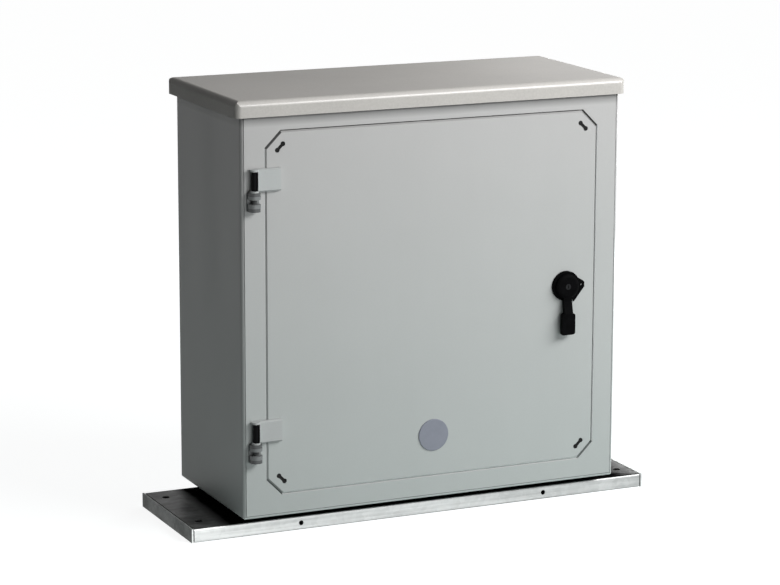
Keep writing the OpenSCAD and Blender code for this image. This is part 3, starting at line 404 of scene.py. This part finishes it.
def moulded_finish(name, shade, finish, cloud, mottle, roughness, sheen, *, bevels=0.0,
                   eaves=None, flanks=0.0, lower_edge_light=0.0, tinted=None, rubbed=False):
    """Moulded polyester: a fine pebbled skin with faint clouds and flow marks.
    bevels is the painted shade on a door's bevels, eaves the height under which a painted
    shadow darkens the body, flanks the painted shade on all but upright flanks, the lower-edge
    factor how much paler the lower edges are painted, the top colour the colour at the body's
    top, which stands in for warmer light from above, and rubbed gives the roof's front and right
    edges a paler painted highlight and a glossy coat."""
    made, net = material(name)
    point = net.place()
    clouds = net.noise(point, scale=5.0, detail=4.0)
    flow = net.noise(net.stretch(point, (14.0, 14.0, 2.2)), detail=5.0, rough=0.6)
    specks = net.noise(point, scale=1.0 / (finish.grain * SPECK_SIZE), detail=2.0)
    skin = net.noise(point, scale=1.0 / finish.grain, detail=2.0, rough=0.5)
    height = net.part(point, "Z")
    light = (1.0 + cloud * (clouds - 0.5) + cloud * FLOW_SHARE * (flow - 0.5)
             + mottle * (specks - 0.5))
    # Painted shade: the door's bevels and cut-off corners are darkened where the gap round the door
    # lies in shade
    if bevels:
        light = light * (1.0 - bevels * bevel_shading(net))
    # Painted shadow under the roof's skirt: a darker band below the eaves height
    if eaves is not None:
        near = (1.0 - (eaves - height) / finish.eaves_reach).clamp()
        light = light * (1.0 - finish.eaves_shading * near * (0.8 + 0.4 * flow))
    # Painted shade and light: the seal is darkened except on its upright flanks, which lie in shade
    if flanks:
        flank = net.ramp(net.absolute(net.facing("X")), (0.50, 0.0), (0.90, 1.0))
        light = light * (1.0 - flanks * (1.0 - flank))
    # Painted light on the lower edges, which face down into shade
    if lower_edge_light:
        light = light * (1.0 + lower_edge_light * lower_edge(net))
    coat = 0.0
    # Painted highlight: the roof's front and right rounded edges are made paler, under a clear coat
    # that adds real gloss
    if rubbed:
        edge = roof_edge(net)
        light = light * (1.0 + finish.edge_highlight * edge)
        coat = finish.edge_coat * edge
    tint = net.tone(shade, light)
    # Painted light: the colour shifts with height towards the top colour, standing in for warmer
    # light from above
    if tinted is not None:
        body_low, body_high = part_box("body_shell")
        rise = ((height - body_low.z) / (body_high.z - body_low.z)).clamp()
        tint = net.mix(rise, tint, net.tone(tinted, light))
    net.principled(
        Base_Color=tint,
        Roughness=(roughness + 0.16 * (flow - 0.5) + 0.10 * (specks - 0.5)).clamp(),
        IOR=1.5, Specular_IOR_Level=sheen, Coat_Weight=coat, Coat_Roughness=finish.coat_rough,
        Normal=net.bump(skin, finish.grain_depth, strength=0.55))
    return made


def grey_moulding(name, colours, finish, **marks):
    """The grey polyester of the body and the door"""
    return moulded_finish(
        name, colours.moulding, finish, cloud=0.07, mottle=0.05,
        roughness=finish.moulding_gloss, sheen=0.2,
        lower_edge_light=finish.lower_edge_light, tinted=colours.tinted, **marks)


def black_finish(name, shade, roughness, grain):
    """Black plastic or paint with a fine leather-like skin and slightly greyed patches"""
    made, net = material(name)
    point = net.place()
    skin = net.noise(point, scale=1.0 / grain, detail=2.0)
    patches = net.noise(point, scale=42.0, detail=5.0, rough=0.65)
    rubbed = net.ramp(patches, (0.46, 0.0), (0.74, 1.0))
    light = 1.0 + 0.9 * rubbed + 0.5 * (skin - 0.5)
    net.principled(
        Base_Color=net.tone(shade, light),
        Roughness=(roughness + 0.12 * rubbed + 0.14 * (skin - 0.5)).clamp(),
        IOR=1.4, Specular_IOR_Level=0.02, Normal=net.bump(skin, depth=grain * 0.10, strength=0.5))
    return made


def pin_finish(name, shade, worn, low, high):
    """Black hinge pin, rubbed to dull steel between two heights"""
    made, net = material(name)
    point = net.place()
    skin = net.noise(point, scale=1400.0, detail=2.0)
    inside = net.within(net.part(point, "Z"), low, high, RUB_FADE)
    rubbed = (inside * (0.75 + 0.5 * net.noise(point, scale=300.0))).clamp()
    light = 0.8 + 0.4 * skin
    net.principled(
        Base_Color=net.mix(rubbed, net.tone(shade, light), net.tone(worn, light)),
        Roughness=(0.36 + 0.10 * rubbed + 0.10 * (skin - 0.5)).clamp(),
        IOR=1.4, Specular_IOR_Level=0.05, Normal=net.bump(skin, depth=0.00004, strength=0.4))
    return made


def painted_finish(name, shade, roughness):
    """Satin paint on metal with faint brush clouds"""
    made, net = material(name)
    point = net.place()
    clouds = net.noise(point, scale=55.0, detail=4.0)
    skin = net.noise(point, scale=900.0, detail=2.0)
    light = 1.0 + 0.22 * (clouds - 0.5) + 0.10 * (skin - 0.5)
    net.principled(
        Base_Color=net.tone(shade, light),
        Roughness=(roughness + 0.18 * (clouds - 0.5)).clamp(),
        IOR=1.5, Normal=net.bump(skin, depth=0.00006, strength=0.5))
    return made


def plated_finish(name, shade, roughness):
    """Zinc-plated or plain metal with drawn lines and a dull bloom"""
    made, net = material(name)
    point = net.place()
    lines = net.noise(net.stretch(point, (900.0, 900.0, 60.0)))
    bloom = net.noise(point, scale=70.0, detail=4.0, rough=0.6)
    light = 1.0 + 0.22 * (lines - 0.5) + 0.30 * (bloom - 0.5)
    net.principled(
        Base_Color=net.tone(shade, light),
        Metallic=1.0,
        Roughness=(roughness + 0.20 * (bloom - 0.5) + 0.12 * (lines - 0.5)).clamp(),
        Normal=net.bump(lines, depth=0.00003, strength=0.4))
    return made


def galvanised_finish(name, shade, grime_and_shade, finish, dull_axes, streak=0.7, inner=None, stain=None):
    """Hot-dip zinc: faint crystals and drawn streaks, darker to the right as a painted shade.
    Faces along the dull axes are darker, with dirt and painted shade, and so is all that lies
    between the two Y values of inner. The shadow entry holds the half width of what stands on
    the sheet, and the reach and colour of the painted black shadow beside it."""
    made, net = material(name)
    point = net.place()
    waves = net.node("ShaderNodeTexNoise", {}, {
        "Vector": point, "Scale": 60.0, "Detail": 2.0}, out="Color")
    warp = net.node("ShaderNodeVectorMath", {"operation": "MULTIPLY_ADD"}, {
        0: waves, 1: (SPANGLE_WARP,) * 3, 2: point})
    cell = net.node("ShaderNodeTexVoronoi", {}, {
        "Vector": warp, "Scale": 1.0 / finish.spangle_size, "Randomness": 1.0}, out="Color")
    crystal = net.node("ShaderNodeSeparateColor", {}, {0: cell})
    streaks = net.noise(net.stretch(point, (5.0, 260.0, 260.0)), detail=4.0, rough=0.6)
    patches = net.noise(net.stretch(point, (9.0, 18.0, 18.0)), detail=5.0, rough=0.65)
    along = net.part(point, "X")
    # Faces along the dull axes and the sheet inside its rims are darkened: dirt, and painted shade
    faced = sum(net.absolute(net.facing(axis)) for axis in dull_axes)
    dirty_and_shaded = net.ramp(faced, (0.55, 0.0), (0.95, 1.0))
    if inner:
        dirty_and_shaded = net.larger(dirty_and_shaded, net.within(net.part(point, "Y"), *inner, RIM_FADE))
    dirt_and_shade = (dirty_and_shaded * (0.39 + patches)).clamp()
    # Painted shade: the zinc darkens to the right, where the key light's reflection is strongest
    rightward_shade = (0.5 + along / SHADE_SPAN).clamp()
    light = (1.02 - 0.28 * rightward_shade + 0.10 * (crystal - 0.5) + streak * (streaks - 0.5)
             + 0.30 * (patches - 0.5))
    dull = 0.5 + 1.6 * streaks * patches + 0.4 * crystal
    over = None
    # Painted black shadow on the base's upper face beside the body, wider at its right
    if stain:
        half, reach, shading = stain
        right = net.node("ShaderNodeMath", {"operation": "GREATER_THAN"}, {0: along, 1: 0.0})
        beside = (net.absolute(along) - half) / (reach * (1.0 + RIGHT_SHADING * right))
        over = (dirty_and_shaded * net.ramp(beside + patches - 0.5, (0.15, 1.0), (1.0, 0.0)), shading)
    net.principled(
        over,
        Base_Color=net.mix(dirt_and_shade, net.tone(shade, light), net.tone(grime_and_shade, dull)),
        Metallic=(0.85 - 0.85 * dirt_and_shade).clamp(), Specular_IOR_Level=0.06,
        Roughness=(0.46 + 0.08 * (crystal - 0.5) + 0.24 * (streaks - 0.5) - 0.08 * dirt_and_shade).clamp(),
        Normal=net.bump(0.3 * crystal + streaks, depth=0.00008, strength=0.35))
    return made


def rubber_finish(name, shade):
    """Closed-cell foam or hard rubber: pitted and dusty"""
    made, net = material(name)
    point = net.place()
    pits = net.node("ShaderNodeTexVoronoi", {}, {"Vector": point, "Scale": 800.0}, out="Distance")
    dust = net.noise(point, scale=36.0, detail=5.0, rough=0.65)
    light = 0.8 + 0.7 * dust + 0.4 * (pits - 0.5)
    net.principled(
        Base_Color=net.tone(shade, light),
        Roughness=(0.72 + 0.25 * dust).clamp(),
        IOR=1.45, Normal=net.bump(pits, depth=0.00012, strength=0.6))
    return made


# Helpers for the operators

# Rounding of edges: distance of corners that are one, angles below which faces are one
# and above which edges are sharp, steps across a rounded edge
WELD_REACH = 1e-6
FLAT_ANGLE = math.radians(0.5)
SHARP_ANGLE = math.radians(35.0)
EDGE_STEPS = 3


def looks():
    scene = bpy.context.scene
    return scene.cabinet_colours, scene.cabinet_finish


def dress(made, *nodes):
    for name in nodes:
        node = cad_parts.get(name)
        if node is None:
            raise RuntimeError(f"the packed model has no node {name}")
        node.data.materials.clear()
        node.data.materials.append(made)


def soften(radius, *nodes):
    """Rounds the sharp edges of carried-over solids"""
    for name in nodes:
        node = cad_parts[name]
        weld = node.modifiers.new("join", "WELD")
        weld.merge_threshold = WELD_REACH
        flat = node.modifiers.new("flat", "DECIMATE")
        flat.decimate_type = "DISSOLVE"
        flat.angle_limit = FLAT_ANGLE
        edge = node.modifiers.new("edge", "BEVEL")
        edge.width = radius
        edge.segments = EDGE_STEPS
        edge.limit_method = "ANGLE"
        edge.angle_limit = SHARP_ANGLE
        edge.miter_outer = "MITER_ARC"
        edge.use_clamp_overlap = True
        edge.harden_normals = True


# Operators

class CABINET_OT_body(bpy.types.Operator):
    """Gives the body, the front frame and the roof their moulded finish"""
    bl_idname = "cabinet.body"
    bl_label = "Body and Roof"

    def execute(self, context):
        colours, finish = looks()
        # The moulding carries a painted shadow in a band under the roof
        moulding = grey_moulding(
            "moulded_grey", colours, finish, eaves=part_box("roof_canopy")[0].z)
        # The roof's rounded front and right rounded edges carry a painted highlight
        roof = moulded_finish(
            "moulded_roof", colours.roof, finish, cloud=0.18, mottle=0.20,
            roughness=0.52, sheen=0.10, rubbed=True)
        dress(moulding, "body_shell", "front_frame")
        dress(roof, "roof_canopy")
        return {"FINISHED"}


class CABINET_OT_door(bpy.types.Operator):
    """Finishes the door, its disc, its corner slots and the gaskets"""
    bl_idname = "cabinet.door"
    bl_label = "Door Fittings"

    def execute(self, context):
        colours, finish = looks()
        door = grey_moulding("moulded_door", colours, finish, bevels=finish.door_shading)
        dress(door, "door_panel")
        dress(painted_finish("disc_grey", colours.disc, roughness=0.42), "door_disc")
        # Dark plugs in the corner slots stand in for the slots' shade
        slots = black_finish("slot_dark", colours.slot, roughness=0.55, grain=0.0006)
        dress(slots, "corner_plugs")
        dress(rubber_finish("gasket_rubber", colours.rubber), "door_gasket", "gland_gasket")
        return {"FINISHED"}


class CABINET_OT_gap_seal(bpy.types.Operator):
    """Lays the pale bead in the gap between the door and the frame"""
    bl_idname = "cabinet.gap_seal"
    bl_label = "Gap Seal"

    # Runs of the bead: way out of the door, play to the door, depth behind the door's face
    RUNS = (
        ((1, 0, 0), 0.0008, 0.0001),
        ((-1, 0, 0), 0.0006, 0.0010),
        ((0, 0, -1), 0.0003, 0.0001))
    # Gap round the door, length of its corners that the runs leave out, steps of the round
    GAP = 0.002
    CORNER = 0.031
    STEPS = 4

    def profile(self, play, depth, finish):
        """Points of the bead's section: distance from the door, distance behind its face"""
        r = finish.seal_round
        points = [(self.GAP, finish.seal_back), (self.GAP, depth)]
        for step in range(self.STEPS + 1):
            turn = step / self.STEPS * math.pi / 2
            points.append((play + r - r * math.sin(turn), depth + r - r * math.cos(turn)))
        points.append((play, finish.seal_back))
        return points

    def execute(self, context):
        colours, finish = looks()
        low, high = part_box("door_panel")
        middle = (low + high) / 2
        verts, faces = [], []
        for out, play, depth in self.RUNS:
            out = Vector(out)
            along = Vector((abs(out.z), 0, abs(out.x)))
            reach = abs(out.dot(high - low)) / 2
            half = abs(along.dot(high - low)) / 2 + self.GAP - self.CORNER
            section = self.profile(play, depth, finish)
            first, count = len(verts), len(section)
            for end in (-1, 1):
                for across, behind in section:
                    point = middle + out * (reach + across) + along * half * end
                    verts.append((point.x, low.y + behind, point.z))
            for i in range(count):
                j = (i + 1) % count
                faces.append((first + i, first + j, first + count + j, first + count + i))
            faces.append(tuple(range(first, first + count)))
            faces.append(tuple(range(first + count, first + 2 * count)))
        mesh = bpy.data.meshes.new("gap_seal")
        mesh.from_pydata(verts, [], faces)
        shape = bmesh.new()
        shape.from_mesh(mesh)
        bmesh.ops.recalc_face_normals(shape, faces=shape.faces)
        shape.to_mesh(mesh)
        shape.free()
        bead = bpy.data.objects.new("gap_seal", mesh)
        context.scene.collection.objects.link(bead)
        # The bead's pale colour and pale upright flanks are painted light in the shaded gap
        mesh.materials.append(moulded_finish(
            "seal_grey", colours.seal, finish, cloud=0.10, mottle=0.06,
            roughness=0.6, sheen=0.2, flanks=finish.seal_shading))
        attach(bead, "cabinet")
        return {"FINISHED"}


class CABINET_OT_hinges(bpy.types.Operator):
    """Finishes the hinge leaves, brackets and pins"""
    bl_idname = "cabinet.hinges"
    bl_label = "Hinges"

    def execute(self, context):
        colours, finish = looks()
        leaves = moulded_finish(
            "hinge_grey", colours.hinge, finish, cloud=0.10, mottle=0.06,
            roughness=0.44, sheen=0.4)
        dress(leaves, "hinge_leaf_upper", "hinge_leaf_lower")
        brackets = painted_finish("bracket_grey", colours.bracket, roughness=0.40)
        dress(brackets, "hinge_bracket_upper", "hinge_bracket_lower")
        dress(painted_finish("collar_grey", colours.collar, roughness=0.5), "hinge_collars")
        for side in ("upper", "lower"):
            low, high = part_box(f"hinge_bracket_{side}")
            pin = pin_finish(f"pin_black_{side}", colours.pin, colours.worn, low.z, high.z)
            dress(pin, f"hinge_pin_{side}")
        soften(finish.hinge_edge, "hinge_leaf_upper", "hinge_leaf_lower")
        return {"FINISHED"}


class CABINET_OT_handle(bpy.types.Operator):
    """Finishes the handle, its rosette and the lock plug"""
    bl_idname = "cabinet.handle"
    bl_label = "Handle"

    def execute(self, context):
        colours, finish = looks()
        black = black_finish("handle_black", colours.black, roughness=0.48, grain=0.0007)
        dress(black, "handle_lever", "handle_rosette", "rod_guide_upper", "rod_guide_lower")
        dress(plated_finish("lock_metal", colours.plug, roughness=0.42), "lock_plug")
        soften(finish.handle_edge, "handle_lever")
        return {"FINISHED"}


class CABINET_OT_lock_gear(bpy.types.Operator):
    """Finishes the rods, the cam and all screws and nuts"""
    bl_idname = "cabinet.lock_gear"
    bl_label = "Lock Gear and Screws"

    def execute(self, context):
        colours, _ = looks()
        zinc = plated_finish("zinc_hardware", colours.zinc, roughness=0.34)
        dress(zinc, "lock_rod_upper", "lock_rod_lower", "lock_cam", "cam_pins", "cam_screw",
              "handle_spindle", "rosette_nut", "hinge_leaf_nuts", "hinge_bracket_nuts",
              "guide_screws", "roof_screws", "plate_screws", "gland_screws",
              "base_bolts", "base_washers", "base_nuts")
        dress(plated_finish("brass", colours.brass, roughness=0.36), "plate_inserts")
        return {"FINISHED"}


class CABINET_OT_base(bpy.types.Operator):
    """Finishes the galvanised base, the plates and the spacers"""
    bl_idname = "cabinet.base"
    bl_label = "Base and Plates"

    def execute(self, context):
        colours, finish = looks()
        low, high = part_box("base_frame")
        sheet = galvanised_finish(
            "galvanised", colours.spangle, colours.grime_and_shade, finish, dull_axes="Z",
            inner=(low.y + finish.flange_rim, high.y - finish.flange_rim),
            stain=(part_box("body_shell")[1].x, finish.shadow_reach, colours.stain))
        dress(sheet, "base_frame")
        # The ends' darker, duller zinc on faces along X and Z is painted shade
        ends = galvanised_finish(
            "galvanised_ends", colours.spangle, colours.dull, finish, dull_axes="XZ")
        dress(ends, "base_end_caps")
        clean = galvanised_finish(
            "galvanised_clean", colours.spangle, colours.spangle, finish, dull_axes="Z",
            streak=0.2)
        dress(clean, "mounting_plate", "gland_plate")
        dress(rubber_finish("spacer_rubber", colours.rubber), "foot_spacers")
        return {"FINISHED"}


class CABINET_OT_stage(bpy.types.Operator):
    """Sets the floor, the light and the camera"""
    bl_idname = "cabinet.stage"
    bl_label = "Stage"

    # Settings of each lamp
    LAMP = ("power", "width", "height", "distance", "turn", "rise", "spread")
    # Length over which the floor's glow fades out under the base, leaving a painted shadow there
    GLOW_FADE = 0.012
    # The camera's sensor in millimetres, and the nearest and farthest that it sees
    SENSOR = 36.0
    NEAR, FAR = 0.1, 200.0

    def execute(self, context):
        stage = context.scene.cabinet_stage
        self.floor(stage)
        self.world(stage)
        middle = (Vector(CAD_BOX[0]) + Vector(CAD_BOX[1])) / 2
        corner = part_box("roof_canopy")[1]
        for name, target in (("key", middle), ("fill", middle), ("rim", corner), ("back", middle)):
            self.lamp(name, target, *(getattr(stage, f"{name}_{key}") for key in self.LAMP))
        self.camera(stage)
        context.scene.view_settings.view_transform = "Standard"
        return {"FINISHED"}

    @staticmethod
    def seen(net):
        """1 where the camera, a reflection or glass looks at a surface"""
        camera, glossy, glass = (
            net.node("ShaderNodeLightPath", {}, {}, out=name)
            for name in ("Is Camera Ray", "Is Glossy Ray", "Is Transmission Ray"))
        return (camera + glossy + glass).clamp()

    def outside(self, net, name, stage):
        """The floor's glow: none under a node, which paints a shadow there, some beside it and more
        far away
        """
        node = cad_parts[name]
        corners = [node.matrix_world @ Vector(corner) for corner in node.bound_box]
        point = net.node("ShaderNodeNewGeometry", {}, {}, out="Position")
        beyond = []
        for i in range(2):
            low, high = min(c[i] for c in corners), max(c[i] for c in corners)
            away = net.absolute(net.part(point, i) - (low + high) / 2)
            beyond.append(away - (high - low) / 2)
        edge = net.larger(*beyond)
        far = (edge / stage.glow_reach).clamp()
        glow = stage.floor_glow + (stage.far_glow - stage.floor_glow) * far
        return (1.0 + edge / self.GLOW_FADE).clamp() * glow

    def floor(self, stage):
        half = stage.floor_size / 2
        mesh = bpy.data.meshes.new("floor")
        mesh.from_pydata(
            [(-half, -half, 0), (half, -half, 0), (half, half, 0), (-half, half, 0)],
            [], [(0, 1, 2, 3)])
        floor = bpy.data.objects.new("floor", mesh)
        bpy.context.scene.collection.objects.link(floor)
        made, net = material("pale_floor")
        glow = net.node("ShaderNodeEmission", {}, {
            "Color": self.seen(net) * self.outside(net, "base_frame", stage), "Strength": 1.0})
        plain = net.node("ShaderNodeBsdfDiffuse", {}, {"Color": rgba(stage.floor_tint)})
        net.surface(net.node("ShaderNodeAddShader", {}, {0: plain, 1: glow}))
        mesh.materials.append(made)

    def world(self, stage):
        world = bpy.data.worlds.new("studio")
        bpy.context.scene.world = world
        net = Net(world)
        strength = stage.ambient + (1.0 - stage.ambient) * self.seen(net)
        sky = net.node("ShaderNodeBackground", {}, {"Color": (1, 1, 1, 1), "Strength": strength})
        net.node("ShaderNodeOutputWorld", {}, {"Surface": sky})

    @staticmethod
    def lamp(name, target, watts, width, height, distance, turn, rise, spread):
        """A soft light that points at a target"""
        lamp = bpy.data.lights.new(name, "AREA")
        lamp.shape = "RECTANGLE"
        lamp.size, lamp.size_y = width, height
        lamp.energy = watts
        lamp.spread = spread
        light = bpy.data.objects.new(name, lamp)
        bpy.context.scene.collection.objects.link(light)
        back = Vector((
            math.sin(turn) * math.cos(rise), -math.cos(turn) * math.cos(rise), math.sin(rise)))
        light.location = target + back * distance
        light.rotation_euler = (-back).to_track_quat("-Z", "Y").to_euler()
        light.visible_camera = False

    def camera(self, stage):
        data = bpy.data.cameras.new("camera")
        data.lens = stage.lens
        data.sensor_width = self.SENSOR
        data.clip_start, data.clip_end = self.NEAR, self.FAR
        camera = bpy.data.objects.new("camera", data)
        bpy.context.scene.collection.objects.link(camera)
        turn = Matrix.Rotation(stage.turn, 4, "Z")
        dip = Matrix.Rotation(math.pi / 2 - stage.dip, 4, "X")
        tilt = Matrix.Rotation(stage.tilt, 4, "Z")
        camera.matrix_world = Matrix.Translation(stage.eye) @ turn @ dip @ tilt
        bpy.context.scene.camera = camera


OPERATORS = (
    CABINET_OT_body, CABINET_OT_door, CABINET_OT_gap_seal, CABINET_OT_hinges, CABINET_OT_handle,
    CABINET_OT_lock_gear, CABINET_OT_base, CABINET_OT_stage)
GROUPS = {
    "cabinet_colours": CabinetColours,
    "cabinet_finish": CabinetFinish,
    "cabinet_stage": CabinetStage,
}


class CABINET_PT_panel(bpy.types.Panel):
    """Lists the cabinet's pieces and settings"""
    bl_idname = "CABINET_PT_panel"
    bl_label = "Roadside Cabinet"
    bl_space_type = "VIEW_3D"
    bl_region_type = "UI"
    bl_category = "Cabinet"

    def draw(self, context):
        layout = self.layout
        for operator in OPERATORS:
            layout.operator(operator.bl_idname)
        for group in GROUPS:
            settings = getattr(context.scene, group)
            box = layout.box()
            for key in settings.__annotations__:
                box.prop(settings, key)


CLASSES = (*GROUPS.values(), *OPERATORS, CABINET_PT_panel)


def register():
    for made in CLASSES:
        bpy.utils.register_class(made)
    for name, group in GROUPS.items():
        setattr(bpy.types.Scene, name, bpy.props.PointerProperty(type=group))


def unregister():
    for name in GROUPS:
        delattr(bpy.types.Scene, name)
    for made in reversed(CLASSES):
        bpy.utils.unregister_class(made)


def main():
    register()
    bpy.ops.cabinet.body()
    bpy.ops.cabinet.door()
    bpy.ops.cabinet.gap_seal()
    bpy.ops.cabinet.hinges()
    bpy.ops.cabinet.handle()
    bpy.ops.cabinet.lock_gear()
    bpy.ops.cabinet.base()
    bpy.ops.cabinet.stage()


if __name__ == "__main__":
    main()
